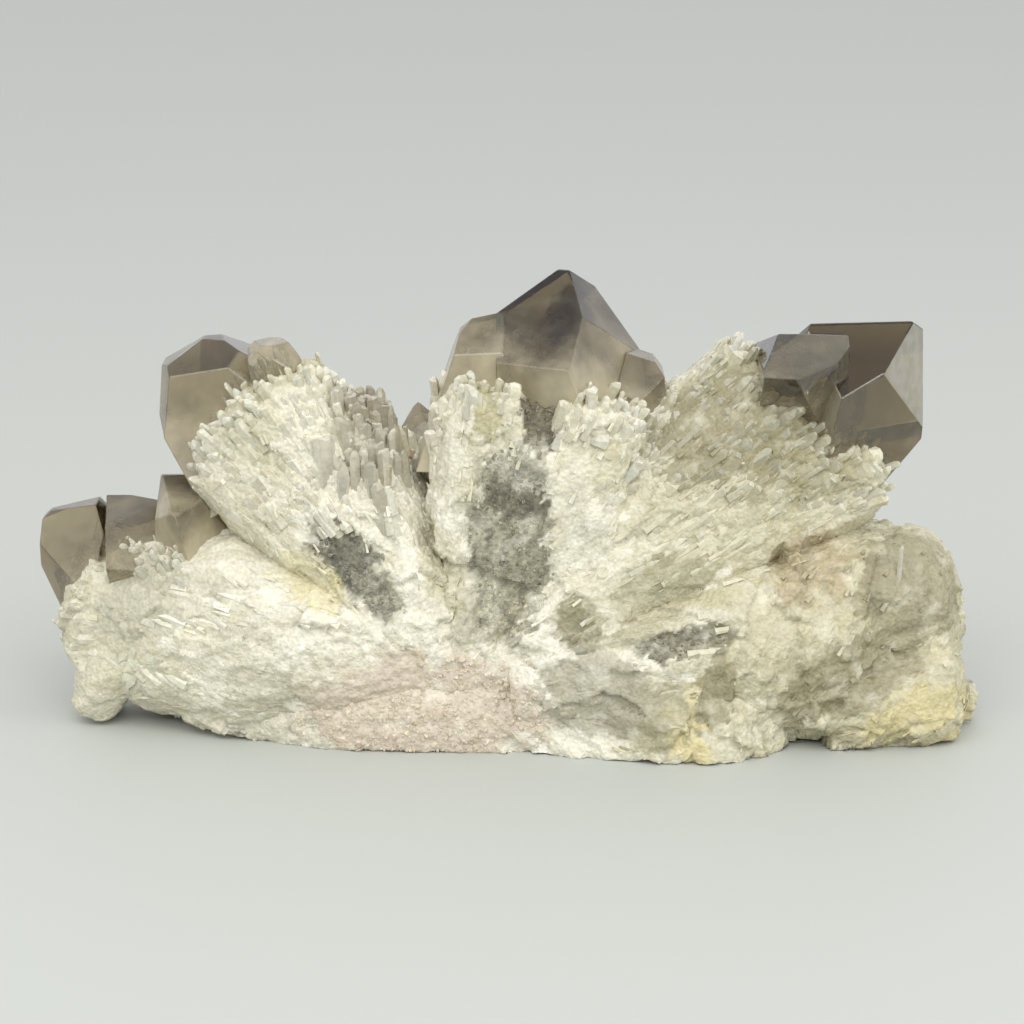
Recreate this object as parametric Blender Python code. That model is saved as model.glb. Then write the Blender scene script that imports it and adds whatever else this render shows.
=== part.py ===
"""A hand-sized cluster of smoky quartz, grown as one piece.

From a grainy lump of matrix at the bottom, bundles of quartz fan out in front and behind. Each bundle
is a sheath of small parallel crystals, and large smoky crystals stand out of its end. Everything that
grew together is joined into one closed solid, which rests on the flat patches under the lump.

Sizes are in millimetres and are turned into metres at the end. X runs to the right, Y away from the
front and Z up. Run it with: blender --background --python part.py
"""

import math
import random

import bmesh
import bpy
from mathutils import Matrix, Vector, noise

METRES = 0.001

# Places are measured from the point on the ground under the middle crystal, and the whole cluster is
# then shifted so that its box stands centred on the origin.
CENTRING = Vector((-0.16, -1.66, 0.0))

# How round the bundles are (2 is an ellipse, more is boxier) and how finely they are drawn.
SQUARENESS = 2.5
RING_POINTS = 20
ROUGHNESS = 1.3
ROUGHNESS_PITCH = 9.0
RIB_HEIGHT = 0.9

# The angle between a quartz prism face and the pointed face above it.
POINT_ANGLE = math.radians(38.2)

# Bundles: stations along the spine, each (x, z, half width, front y, back y), and how far the end bulges.
BUNDLES = {
    "low_left": ([(-8, 12, 9, -20, 16), (-28, 15, 15.2, -22.5, 16), (-45, 15.8, 18.2, -19.8, 14),
                  (-58, 16.2, 16.2, -15, 12), (-67, 17, 12, -10, 10)], 8.5),
    "left_foot": ([(-58, 16, 7, -13, 8), (-65.8, 9, 6.5, -11, 6), (-68.8, 2, 5, -9, 4)], 3),
    "upper_left": ([(-9, 10, 9, -21, 14), (-19, 24, 12.5, -21, 13), (-28, 37, 15.5, -19, 10),
                   (-39.5, 47.8, 15.2, -15, 5)], 9.5),
    "upright_prisms": ([(-19.5, 32, 5, -15, 4), (-22, 45, 6.5, -13, 2)], 9),
    "centre": ([(-8, 10, 9, -21, 14), (-4, 24, 12, -20, 14), (1, 38, 15, -18, 14),
                (4, 50, 17, -15.5, 13)], 9),
    "centre_front": ([(-2, 28, 13, -20.5, -6), (3, 40, 17.8, -20.6, -6), (4.6, 51, 17.8, -20.2, -6),
                      (5.2, 56, 16.6, -19.6, -6)], 3),
    "upper_right": ([(-4, 10, 9, -21, 14), (12, 22, 13, -22, 14), (28.5, 36.5, 18.5, -19, 14),
                     (42, 46, 18.5, -15, 13)], 11),
    "right_shoulder": ([(20, 22, 8, -20, 12), (40, 34, 8.5, -17, 12), (53, 39, 8, -13, 11)], 9.5),
    "low_right": ([(0, 9, 10, -23, 16), (20, 12, 14, -26, 16), (38, 15, 16.5, -25, 15),
                   (52, 16.8, 17.8, -21.5, 14), (62.5, 16.5, 16.8, -17, 12)], 14),
    "right_foot": ([(40, 7, 8, -23, 8), (50, 7, 8, -23, 8), (58, 6, 10, -22.8, 6),
                    (65.8, 6.5, 11, -20.5, 4)], 10.8),
    "matrix": ([(-50, 4, 5.5, -11, 10), (-42, 3.5, 9, -16.5, 14), (-31, 3.5, 12, -20.5, 18),
                (-16, 3.5, 14, -22.3, 22), (5, 3.5, 15, -22.5, 24), (24, 3.5, 14, -28, 22),
                (36, 3.5, 12.5, -27, 18), (43, 3.8, 9, -22, 14)], 6),
    "back_low_left": ([(-12, 9, 9, -5, 22), (-34, 12, 11, 2, 26), (-50, 14, 10, 4, 25)], 8),
    "back_left": ([(-10, 10, 10, -5, 22), (-24, 21, 13, 0, 26), (-37, 30, 13, 4, 28)], 8),
    "back_centre": ([(-8, 12, 10, -5, 24), (-11, 26, 12, 0, 27), (-14, 38, 11, 4, 27)], 7),
    "back_right": ([(0, 12, 10, -5, 24), (8, 26, 13, 0, 28), (16, 38, 12, 4, 28)], 7),
    "back_low_right": ([(4, 10, 10, -5, 24), (26, 17, 14, 0, 28), (45, 23, 14, 3, 27)], 10),
}

# Large crystals: a centre, then faces as (heading, tilt, distance): which way the face looks round the
# compass (0 is +X and 90 is +Y), how far it looks up, and how far it lies from the centre.
LARGE_CRYSTALS = {
    "centre_crystal": ((9, 0, 55), [
        (-114, 53, 15.5), (-17, 38, 12), (-31, 21, 11), (0, 90, 19.2), (150, 45, 14.8), (60, 60, 16.7),
        (30, 27, 12.5), (180, 0, 11.5), (0, 0, 12), (90, 0, 13), (120, 30, 15), (-55, -5, 17),
        (-115, -5, 16), (0, -90, 33)]),
    "centre_left_crystal": ((-4, -6, 56), [
        (180, 18, 7), (180, 46, 9.8), (0, 90, 12.4), (-100, 58, 9.2), (-95, 4, 6.5), (-25, 30, 7.8),
        (0, 5, 4.2), (90, 0, 8), (110, 50, 10), (0, -90, 12)]),
    "centre_right_crystal": ((20, -3, 50), [
        (0, 35, 8.2), (0, 3, 4.7), (-10, 75, 10.6), (-85, 50, 9), (-110, -4, 7), (-45, 2, 6),
        (180, 20, 5.5), (90, 0, 8), (60, 40, 10), (0, -90, 12)]),
    "right_crystal": ((55, 2, 54), [
        (-34, 5, 9.5), (-85, 54, 10.5), (-51, -14, 9), (0, -43, 14), (5, 0, 11.6), (0, 50, 14.9),
        (90, 0, 12), (96, 60, 9.2), (90, -55, 11), (180, 30, 12), (-155, 5, 9.5), (-90, -60, 14),
        (180, -20, 14)]),
    "right_front_crystal": ((47, -4, 58), [
        (-27, 1, 8), (-73, 66, 8), (-46, -27, 7), (0, 0, 6.3), (-90, 72, 8.2), (90, 70, 5.7),
        (90, 0, 7), (180, 40, 8.5), (-90, -50, 8), (180, 0, 8), (0, -70, 9)]),
    "left_crystal": ((-72.5, 3, 26), [
        (-119, 38, 3.5), (-144, -10, 4), (180, 2, 5.2), (180, 45, 7.4), (175, 78, 7.5), (0, 25, 7.4),
        (0, -5, 5.5), (180, -29, 5.6), (90, 0, 9), (110, 45, 9), (-60, -30, 9), (-35, 10, 8.2),
        (0, -60, 11)]),
    "left_middle_crystal": ((-60, 3, 27), [
        (-76, 59, 6.5), (-108, 73, 7), (-176, -5, 6), (90, 75, 9), (90, 10, 9), (180, 0, 8),
        (60, 55, 8), (0, 0, 8), (-90, -40, 10), (0, -90, 12)]),
    "left_near_crystal": ((-51, -4, 32), [
        (-86, 71, 8), (-41, -2, 4.5), (-140, -20, 6), (-158, 25, 8), (0, 30, 4.6), (0, 59, 6.8),
        (180, 5, 6.6), (100, 30, 8), (90, 80, 9.2), (180, -20, 6.3), (0, -40, 8), (90, -20, 9),
        (-100, -60, 12)]),
    "upper_left_crystal": ((-49, 5, 51), [
        (180, 2, 8.2), (-165, 8, 8.6), (-95, 12, 9.5), (180, 57, 9.9), (-110, 60, 10.2),
        (10, 62, 10.8), (180, -30, 7.6), (0, 90, 11.1), (90, 5, 9), (110, 50, 10), (0, 0, 11),
        (-60, 45, 12), (0, -60, 14)]),
    "point_crystal": ((-37.7, -3, 56.2), [
        (-100, 45, 7.2), (-40, 38, 5.6), (-160, 35, 6.6), (20, 35, 5.5), (80, 40, 7), (140, 40, 7),
        (-130, 0, 4.6), (-70, 0, 4.6), (-10, 0, 3.8), (180, -10, 3.6), (90, 0, 5), (0, -90, 14),
        (0, 90, 7)]),
}

# Six-sided crystals with a regular point, out of sight behind: (root, tip, radius, roll in degrees).
BACK_CRYSTALS = [
    ((-30, 12, 24), (-50, 26, 44), 6.5, 10),
    ((-40, 12, 12), (-66, 22, 22), 6.0, 25),
    ((-12, 12, 30), (-16, 20, 49), 4.5, 5),
    ((10, 12, 28), (20, 26, 55), 6.5, 40),
    ((30, 12, 18), (56, 26, 40), 7.0, 15),
    ((34, 14, 14), (64, 24, 24), 5.5, 50),
    ((2, 14, 20), (2, 30.5, 42), 5.5, 20),
]

# Small crystals that end each bundle: rings of them, as (share of the way out from the middle, count).
END_RINGS = [(0.0, 1), (0.45, 5), (0.85, 9)]
END_CRYSTAL_RADIUS = (2.0, 3.4)
END_CRYSTAL_PROUD = (1.0, 4.0)
END_CRYSTAL_BURIED = 7.0
BUNDLES_WITH_ENDS = ("low_left", "upper_left", "centre", "upper_right", "right_shoulder", "low_right",
                     "back_low_left", "back_left", "back_centre", "back_right", "back_low_right")

draw = random.Random(12)


def clear_scene():
    for item in list(bpy.data.objects):
        bpy.data.objects.remove(item, do_unlink=True)


def quartz_material():
    material = bpy.data.materials.new("smoky_quartz")
    material.use_nodes = True
    shader = material.node_tree.nodes["Principled BSDF"]
    shader.inputs["Base Color"].default_value = (0.62, 0.58, 0.44, 1)
    shader.inputs["Roughness"].default_value = 0.35
    shader.inputs["Metallic"].default_value = 0
    return material


def object_from(name, mesh_builder, collection):
    """An object whose vertices, given in millimetres, are centred and turned into metres."""
    bmesh.ops.recalc_face_normals(mesh_builder, faces=mesh_builder.faces)
    bmesh.ops.translate(mesh_builder, vec=CENTRING, verts=mesh_builder.verts)
    bmesh.ops.scale(mesh_builder, vec=(METRES,) * 3, verts=mesh_builder.verts)
    mesh = bpy.data.meshes.new(name)
    mesh_builder.to_mesh(mesh)
    mesh_builder.free()
    made = bpy.data.objects.new(name, mesh)
    collection.objects.link(made)
    return made


def power(value, exponent):
    return math.copysign(abs(value) ** exponent, value)


def bundle_frame(stations, index):
    """The spine's point, direction and sideways direction at a station, in the X-Z plane."""
    before = stations[max(index - 1, 0)]
    after = stations[min(index + 1, len(stations) - 1)]
    along = Vector((after[0] - before[0], 0, after[1] - before[1])).normalized()
    x, z, _, front, back = stations[index]
    return Vector((x, (front + back) / 2, z)), along, Vector((along.z, 0, -along.x))


def ring_points(centre, sideways, half_width, half_depth):
    """A boxy ellipse round the spine, ribbed like crystals side by side and roughened like broken rock."""
    points = []
    for step in range(RING_POINTS):
        turn = 2 * math.pi * step / RING_POINTS
        across = half_width * power(math.cos(turn), 2 / SQUARENESS)
        deep = half_depth * power(math.sin(turn), 2 / SQUARENESS)
        out = sideways * across + Vector((0, deep, 0))
        rough = ROUGHNESS * noise.noise((centre + out) / ROUGHNESS_PITCH)
        rib = RIB_HEIGHT * (step % 2) * min(half_width / 12, 1)
        points.append(centre + out + out.normalized() * (rough - rib))
    return points


def add_bundle(name, stations, bulge, collection):
    """Rings along the spine, skinned from one to the next, with a domed end."""
    rings = []
    for index in range(len(stations)):
        centre, along, sideways = bundle_frame(stations, index)
        _, _, half_width, front, back = stations[index]
        rings.append(ring_points(centre, sideways, half_width, (back - front) / 2))
    dome = ((0.45, 0.82), (0.8, 0.5))
    for forward, share in dome:
        rings.append(ring_points(centre + along * bulge * forward, sideways, half_width * share,
                                 (back - front) / 2 * share))
    builder = bmesh.new()
    loops = [[builder.verts.new(point) for point in ring] for ring in rings]
    for near, far in zip(loops, loops[1:]):
        for step in range(RING_POINTS):
            following = (step + 1) % RING_POINTS
            builder.faces.new((near[step], near[following], far[following], far[step]))
    builder.faces.new(loops[0])
    tip = builder.verts.new(centre + along * bulge)
    for step in range(RING_POINTS):
        builder.faces.new((loops[-1][step], loops[-1][(step + 1) % RING_POINTS], tip))
    return object_from(name, builder, collection)


def face_direction(heading, tilt):
    heading, tilt = math.radians(heading), math.radians(tilt)
    return Vector((math.cos(tilt) * math.cos(heading), math.cos(tilt) * math.sin(heading),
                   math.sin(tilt)))


def cut_face(builder, point, outward):
    """Slices off what lies beyond a plane and closes the cut with one flat face."""
    everything = builder.verts[:] + builder.edges[:] + builder.faces[:]
    cut = bmesh.ops.bisect_plane(builder, geom=everything, plane_co=point, plane_no=outward,
                                 clear_outer=True)
    edges = [item for item in cut["geom_cut"] if isinstance(item, bmesh.types.BMEdge)]
    if edges:
        bmesh.ops.contextual_create(builder, geom=edges)


def add_faceted_crystal(name, centre, faces, collection):
    """A block cut by one plane for each crystal face, as its heading, tilt and distance say."""
    centre = Vector(centre)
    builder = bmesh.new()
    bmesh.ops.create_cube(builder, size=120)
    bmesh.ops.translate(builder, vec=centre, verts=builder.verts)
    for heading, tilt, distance in faces:
        outward = face_direction(heading, tilt)
        cut_face(builder, centre + outward * distance, outward)
    return object_from(name, builder, collection)


def add_pointed_crystal(name, root, tip, radius, roll, collection, sides=6):
    """A six-sided prism from root to tip, its end cut to a point by six faces at quartz's own angle."""
    root, tip = Vector(root), Vector(tip)
    length = (tip - root).length
    builder = bmesh.new()
    bmesh.ops.create_cone(builder, cap_ends=True, segments=sides, radius1=radius * 0.9, radius2=radius,
                          depth=length)
    bmesh.ops.translate(builder, vec=(0, 0, length / 2), verts=builder.verts)
    for side in range(sides):
        turn = 2 * math.pi * (side + 0.5) / sides
        prism_normal = Vector((math.cos(turn), math.sin(turn), 0))
        outward = prism_normal * math.cos(POINT_ANGLE) + Vector((0, 0, math.sin(POINT_ANGLE)))
        back = radius * (0.0 if side % 2 else 0.22)
        cut_face(builder, Vector((0, 0, length - radius * 0.1 - back * 0.5)), outward)
    aim = (tip - root).to_track_quat("Z", "Y").to_matrix().to_4x4()
    place = Matrix.Translation(root) @ aim @ Matrix.Rotation(math.radians(roll), 4, "Z")
    bmesh.ops.transform(builder, matrix=place, verts=builder.verts)
    return object_from(name, builder, collection)


def add_bundle_end(name, stations, bulge, collection):
    """Small pointed crystals that stand out of the domed end of a bundle, spreading like a brush."""
    centre, along, sideways = bundle_frame(stations, len(stations) - 1)
    _, _, half_width, front, back = stations[-1]
    half_depth = (back - front) / 2
    count = 0
    for share, how_many in END_RINGS:
        for step in range(how_many):
            turn = 2 * math.pi * (step + draw.uniform(-0.25, 0.25)) / how_many
            out = (sideways * half_width * math.cos(turn) + Vector((0, half_depth * math.sin(turn), 0)))
            surface = centre + out * share + along * bulge * math.sqrt(1 - share ** 2)
            aim = (along + out * 0.035 * share).normalized()
            add_pointed_crystal(f"{name}_end_{count}", surface - aim * END_CRYSTAL_BURIED,
                                surface + aim * draw.uniform(*END_CRYSTAL_PROUD),
                                draw.uniform(*END_CRYSTAL_RADIUS), draw.uniform(0, 60), collection)
            count += 1


def ground_cutter(collection):
    """A block whose top is the ground: what it takes off leaves the flat patches the cluster rests on."""
    builder = bmesh.new()
    bmesh.ops.create_cube(builder, size=1)
    bmesh.ops.scale(builder, vec=(260, 160, 40), verts=builder.verts)
    bmesh.ops.translate(builder, vec=(0, 0, -20), verts=builder.verts)
    return object_from("ground_cutter", builder, collection)


def main():
    clear_scene()
    scene_collection = bpy.context.scene.collection
    grown = bpy.data.collections.new("grown_together")
    scene_collection.children.link(grown)

    for name, (stations, bulge) in BUNDLES.items():
        if name != "matrix":
            add_bundle(name, stations, bulge, grown)
    for name, (centre, faces) in LARGE_CRYSTALS.items():
        add_faceted_crystal(name, centre, faces, grown)
    for number, (root, tip, radius, roll) in enumerate(BACK_CRYSTALS):
        add_pointed_crystal(f"back_crystal_{number}", root, tip, radius, roll, grown)
    for name in BUNDLES_WITH_ENDS:
        add_bundle_end(name, *BUNDLES[name], grown)
    cutter = ground_cutter(scene_collection)
    for helper in list(grown.objects) + [cutter]:
        helper.hide_render = True
        helper.display_type = "WIRE"

    cluster = add_bundle("smoky_quartz_cluster", *BUNDLES["matrix"], scene_collection)
    cluster.data.materials.append(quartz_material())
    joined = cluster.modifiers.new("grow together", "BOOLEAN")
    joined.operation = "UNION"
    joined.solver = "EXACT"
    joined.operand_type = "COLLECTION"
    joined.collection = grown
    rested = cluster.modifiers.new("rest on the ground", "BOOLEAN")
    rested.operation = "DIFFERENCE"
    rested.solver = "EXACT"
    rested.object = cutter


main()
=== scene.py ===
# %% [markdown]
# # A cluster of smoky quartz
# The piece is a hand-sized cluster: bundles of thin quartz crystals fan out from a grainy lump at the
# bottom, and clear smoky crystals as thick as a finger stand out of their ends. It could be sculpted as one
# surface, but light then has no edges to catch. Here each part of the rough mass is a closed skin, and
# thousands of small crystals and 17 large ones are grown on it, each as a closed solid.

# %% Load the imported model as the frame
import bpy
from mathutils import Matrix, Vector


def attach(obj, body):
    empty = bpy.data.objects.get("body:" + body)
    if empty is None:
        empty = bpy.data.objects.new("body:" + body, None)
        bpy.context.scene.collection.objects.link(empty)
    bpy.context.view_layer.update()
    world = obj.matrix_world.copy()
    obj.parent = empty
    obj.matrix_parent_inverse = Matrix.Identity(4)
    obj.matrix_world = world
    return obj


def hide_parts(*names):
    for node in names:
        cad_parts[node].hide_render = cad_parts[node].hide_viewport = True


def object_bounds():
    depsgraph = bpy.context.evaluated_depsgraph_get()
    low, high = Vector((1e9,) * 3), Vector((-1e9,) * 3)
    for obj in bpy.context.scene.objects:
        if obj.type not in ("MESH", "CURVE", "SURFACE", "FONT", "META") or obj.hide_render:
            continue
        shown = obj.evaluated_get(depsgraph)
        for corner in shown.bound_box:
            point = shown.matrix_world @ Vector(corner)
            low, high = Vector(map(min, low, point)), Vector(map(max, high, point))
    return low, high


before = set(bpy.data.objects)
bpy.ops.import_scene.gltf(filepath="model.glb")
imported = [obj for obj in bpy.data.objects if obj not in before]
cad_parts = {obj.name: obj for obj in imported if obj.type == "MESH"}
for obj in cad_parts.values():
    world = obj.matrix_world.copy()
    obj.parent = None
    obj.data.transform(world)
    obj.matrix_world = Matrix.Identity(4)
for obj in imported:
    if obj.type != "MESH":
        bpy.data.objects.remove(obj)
cad_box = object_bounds()
print("CAD box in metres:", [tuple(round(v, 4) for v in corner) for corner in cad_box])

# %% [markdown]
# ## Units and tools
# Places are in millimetres, from the point on the ground under the middle crystal: X right, Y away from
# the front, Z up. One function shifts them and turns them into metres when a mesh is made. Numpy works
# on thousands of points at once, which keeps the script quick.

# %% Tools and units
import math

import bmesh
import bpy
import numpy as np
from mathutils import Matrix, Vector, noise
from mathutils.bvhtree import BVHTree

MM = 0.001
CENTRING = np.array((-0.16, -1.66, 0.0))
draw = np.random.default_rng(7)
box_low = np.array(cad_box[0]) / MM - CENTRING
box_high = np.array(cad_box[1]) / MM - CENTRING
print("CAD box in millimetres:", box_low.round(1), box_high.round(1))


def linear(red, green, blue):
    """A screen colour, 0 to 255, as the linear values that Blender works in."""
    shares = np.array((red, green, blue)) / 255
    return np.where(shares <= 0.04045, shares / 12.92, ((shares + 0.055) / 1.055) ** 2.4)


def unit(vectors):
    return vectors / np.maximum(np.linalg.norm(vectors, axis=-1, keepdims=True), 1e-9)


def noise_at(points, pitch, seed=0.0):
    """Smooth noise, about -1 to 1, that changes over a distance of pitch millimetres."""
    return np.array([noise.noise(p) for p in (points / pitch + seed).tolist()])


# %% [markdown]
# ## The camera
# It looks 15 degrees down at the front with a long lens, so the floor's far edge lies outside the frame.
# It comes first, so that every later step can be looked at from the right place.

# %% Place the camera
camera_data = bpy.data.cameras.new("camera")
camera_data.sensor_width = 36
camera_data.lens = 110.5
camera_data.clip_start = 0.02
camera_data.clip_end = 50
camera = bpy.data.objects.new("camera", camera_data)
camera.location = (np.array((0, -494.96, 166.8)) + CENTRING) * MM
camera.rotation_euler = (math.radians(75), 0, 0)
bpy.context.scene.collection.objects.link(camera)
bpy.context.scene.camera = camera
print("camera at", tuple(camera.location))

# %% [markdown]
# ## A mesh from arrays
# Each step below ends with points and faces. A face is a row of point numbers, and all faces of one call
# have the same number of corners. The colour of the stone goes onto the points as an attribute, so that
# the material can read how each crystal differs from its neighbours.

# %% Turn arrays into a piece


def make_mesh(name, points, face_groups, colours, smooth=False, fibres=None):
    """A mesh from points in millimetres and groups of faces with equally many corners."""
    mesh = bpy.data.meshes.new(name)
    mesh.vertices.add(len(points))
    metres = (np.asarray(points) + CENTRING) * MM
    mesh.vertices.foreach_set("co", metres.astype(np.float32).ravel())
    sizes = np.concatenate([np.full(len(group), group.shape[1]) for group in face_groups])
    corners = np.concatenate([group.ravel() for group in face_groups])
    mesh.loops.add(len(corners))
    mesh.loops.foreach_set("vertex_index", corners.astype(np.int32))
    mesh.polygons.add(len(sizes))
    mesh.polygons.foreach_set("loop_start", (np.cumsum(sizes) - sizes).astype(np.int32))
    mesh.polygons.foreach_set("use_smooth", np.full(len(sizes), smooth))
    mesh.update(calc_edges=True)
    mesh.validate()
    layer = mesh.attributes.new("stone_colour", "FLOAT_COLOR", "POINT")
    layer.data.foreach_set("color", np.c_[colours, np.ones(len(colours))].astype(np.float32).ravel())
    if fibres is not None:
        layer = mesh.attributes.new("fibres", "FLOAT_VECTOR", "POINT")
        layer.data.foreach_set("vector", fibres.astype(np.float32).ravel())
    return mesh


def add_piece(name, mesh, material, slot):
    """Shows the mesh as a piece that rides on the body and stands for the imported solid."""
    piece = bpy.data.objects.new(name, mesh)
    bpy.context.scene.collection.objects.link(piece)
    mesh.materials.clear()
    mesh.materials.append(material)
    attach(piece, "root")
    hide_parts("smoky_quartz_cluster")
    print(f"{name}: {sum(len(face.vertices) - 2 for face in mesh.polygons)} triangles")
    return piece


# %% [markdown]
# ## Shader maths
# A material's colour is a sum of many small effects. Written as nodes by hand that is long, so one class
# wraps a socket and lets plain expressions such as `1 - mask` add the Math nodes. Any other node comes from
# one method that takes its type, its settings and its inputs.

# %% A class that turns expressions into nodes


class Link:
    """A node's output, with arithmetic that adds Math nodes."""

    def __init__(self, finish, socket):
        self.finish = finish
        self.socket = socket

    def maths(self, operation, *values, clamp=False):
        return self.finish.node("ShaderNodeMath", {"operation": operation, "use_clamp": clamp},
                                dict(enumerate(values)))

    def __add__(self, other):
        return self.maths("ADD", self, other)

    def __sub__(self, other):
        return self.maths("SUBTRACT", self, other)

    def __rsub__(self, other):
        return self.maths("SUBTRACT", other, self)

    def __mul__(self, other):
        return self.maths("MULTIPLY", self, other)

    __radd__ = __add__
    __rmul__ = __mul__

    def between(self, low, high):
        """0 below low, 1 above high and a soft step in between."""
        return self.finish.node("ShaderNodeMapRange", {"interpolation_type": "SMOOTHSTEP"},
                                {"Value": self, "From Min": low, "From Max": high})


class Finish:
    """A material with one Principled shader and a short way to add nodes."""

    def __init__(self, name, **values):
        self.material = bpy.data.materials.new(name)
        self.material.use_nodes = True
        self.tree = self.material.node_tree
        self.shader = self.tree.nodes["Principled BSDF"]
        self.output = self.tree.nodes["Material Output"]
        self.set(self.shader, {key.replace("_", " ").title().replace("Ior", "IOR"): value
                               for key, value in values.items()})

    def set(self, node, inputs):
        for key, value in inputs.items():
            if isinstance(value, Link):
                self.tree.links.new(value.socket, node.inputs[key])
            elif isinstance(value, np.ndarray) and len(value) == 3:
                node.inputs[key].default_value = (*value, 1)
            else:
                node.inputs[key].default_value = value

    def node(self, kind, settings, inputs, output=0):
        made = self.tree.nodes.new(kind)
        for key, value in settings.items():
            setattr(made, key, value)
        self.set(made, inputs)
        return Link(self, made.outputs[output])

    def attribute(self, name, output):
        return self.node("ShaderNodeAttribute", {"attribute_name": name}, {}, output)

    def place(self):
        return self.node("ShaderNodeTexCoord", {}, {}, "Object")

    def noise(self, per_metre, detail=3.0, **inputs):
        return self.node("ShaderNodeTexNoise", {}, {"Vector": self.place(), "Scale": per_metre,
                                                    "Detail": detail, **inputs})

    def mix(self, share, first, second, blend="MIX"):
        """Two colours mixed by share."""
        made = self.tree.nodes.new("ShaderNodeMix")
        made.data_type = "RGBA"
        made.blend_type = blend
        sockets = {"share": made.inputs[0], "first": made.inputs[6], "second": made.inputs[7]}
        for key, value in {"share": share, "first": first, "second": second}.items():
            if isinstance(value, Link):
                self.tree.links.new(value.socket, sockets[key])
            elif isinstance(value, np.ndarray):
                sockets[key].default_value = (*value, 1)
            else:
                sockets[key].default_value = value
        return Link(self, made.outputs[2])

    def bump(self, height, strength, distance):
        return self.node("ShaderNodeBump", {}, {"Height": height, "Strength": strength,
                                                "Distance": distance}, "Normal")


# %% [markdown]
# ## The rough mass
# Under the crystals the stone is a mass of bundles grown together. Each bundle is a loft along a spine,
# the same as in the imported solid, but a millimetre slimmer, to leave room for the crystals on it. The
# lofts of one part of the mass overlap, and a voxel remesh turns them into one skin with no faces inside.
# One skin for the whole mass would be simpler, but too heavy as a single mesh at this fineness.

# %% The bundles: stations (x, z, half width, front y, back y), and how far the end bulges
FRONT_BUNDLES = {
    "low_left": ([(-8, 12, 9, -20, 16), (-28, 15, 15.2, -22.5, 16), (-45, 15.8, 18.2, -19.8, 14),
                  (-58, 16.2, 16.2, -15, 12), (-67, 17, 12, -10, 10)], 8.5),
    "left_foot": ([(-58, 16, 7, -13, 8), (-65.8, 9, 6.5, -11, 6), (-68.8, 2, 5, -9, 4)], 3),
    "upper_left": ([(-9, 10, 9, -21, 14), (-19, 24, 12.5, -21, 13), (-28, 37, 15.5, -19, 10),
                    (-39.5, 47.8, 15.2, -15, 5)], 9.5),
    "upright_prisms": ([(-19.5, 32, 5, -15, 4), (-22, 45, 6.5, -13, 2)], 9),
    "centre": ([(-8, 10, 9, -21, 14), (-4, 24, 12, -20, 14), (1, 38, 15, -18, 14),
                (4, 50, 17, -15.5, 13)], 9),
    "centre_front": ([(-2, 28, 13, -20.5, -6), (3, 40, 17.8, -20.6, -6), (4.6, 51, 17.8, -20.2, -6),
                      (5.2, 56, 16.6, -19.6, -6)], 3),
    "upper_right": ([(-4, 10, 9, -21, 14), (12, 22, 13, -22, 14), (28.5, 36.5, 18.5, -19, 14),
                     (42, 46, 18.5, -15, 13)], 11),
    "right_shoulder": ([(20, 22, 8, -20, 12), (40, 34, 8.5, -17, 12), (53, 39, 8, -13, 11)], 9.5),
    "low_right": ([(0, 9, 10, -23, 16), (20, 12, 14, -26, 16), (38, 15, 16.5, -25, 15),
                   (52, 16.8, 17.8, -21.5, 14), (62.5, 16.5, 16.8, -17, 12)], 14),
    "right_foot": ([(40, 7, 8, -23, 8), (50, 7, 8, -23, 8), (58, 6, 10, -22.8, 6),
                    (65.8, 6.5, 11, -20.5, 4)], 10.8),
    "matrix": ([(-50, 4, 5.5, -11, 10), (-42, 3.5, 9, -16.5, 14), (-31, 3.5, 12, -20.5, 18),
                (-16, 3.5, 14, -22.3, 22), (5, 3.5, 15, -22.5, 24), (24, 3.5, 14, -28, 22),
                (36, 3.5, 12.5, -27, 18), (43, 3.8, 9, -22, 14)], 6),
}
BACK_BUNDLES = {
    "back_low_left": ([(-12, 9, 9, -5, 22), (-34, 12, 11, 2, 26), (-50, 14, 10, 4, 25)], 8),
    "back_left": ([(-10, 10, 10, -5, 22), (-24, 21, 13, 0, 26), (-37, 30, 13, 4, 28)], 8),
    "back_centre": ([(-8, 12, 10, -5, 24), (-11, 26, 12, 0, 27), (-14, 38, 11, 4, 27)], 7),
    "back_right": ([(0, 12, 10, -5, 24), (8, 26, 13, 0, 28), (16, 38, 12, 4, 28)], 7),
    "back_low_right": ([(4, 10, 10, -5, 24), (26, 17, 14, 0, 28), (45, 23, 14, 3, 27)], 10),
}
CRYSTAL_ALLOWANCE = 1.1
RING_POINTS = 36
ROUNDNESS = 2.5
FRONT_VOXEL = 0.44


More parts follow.
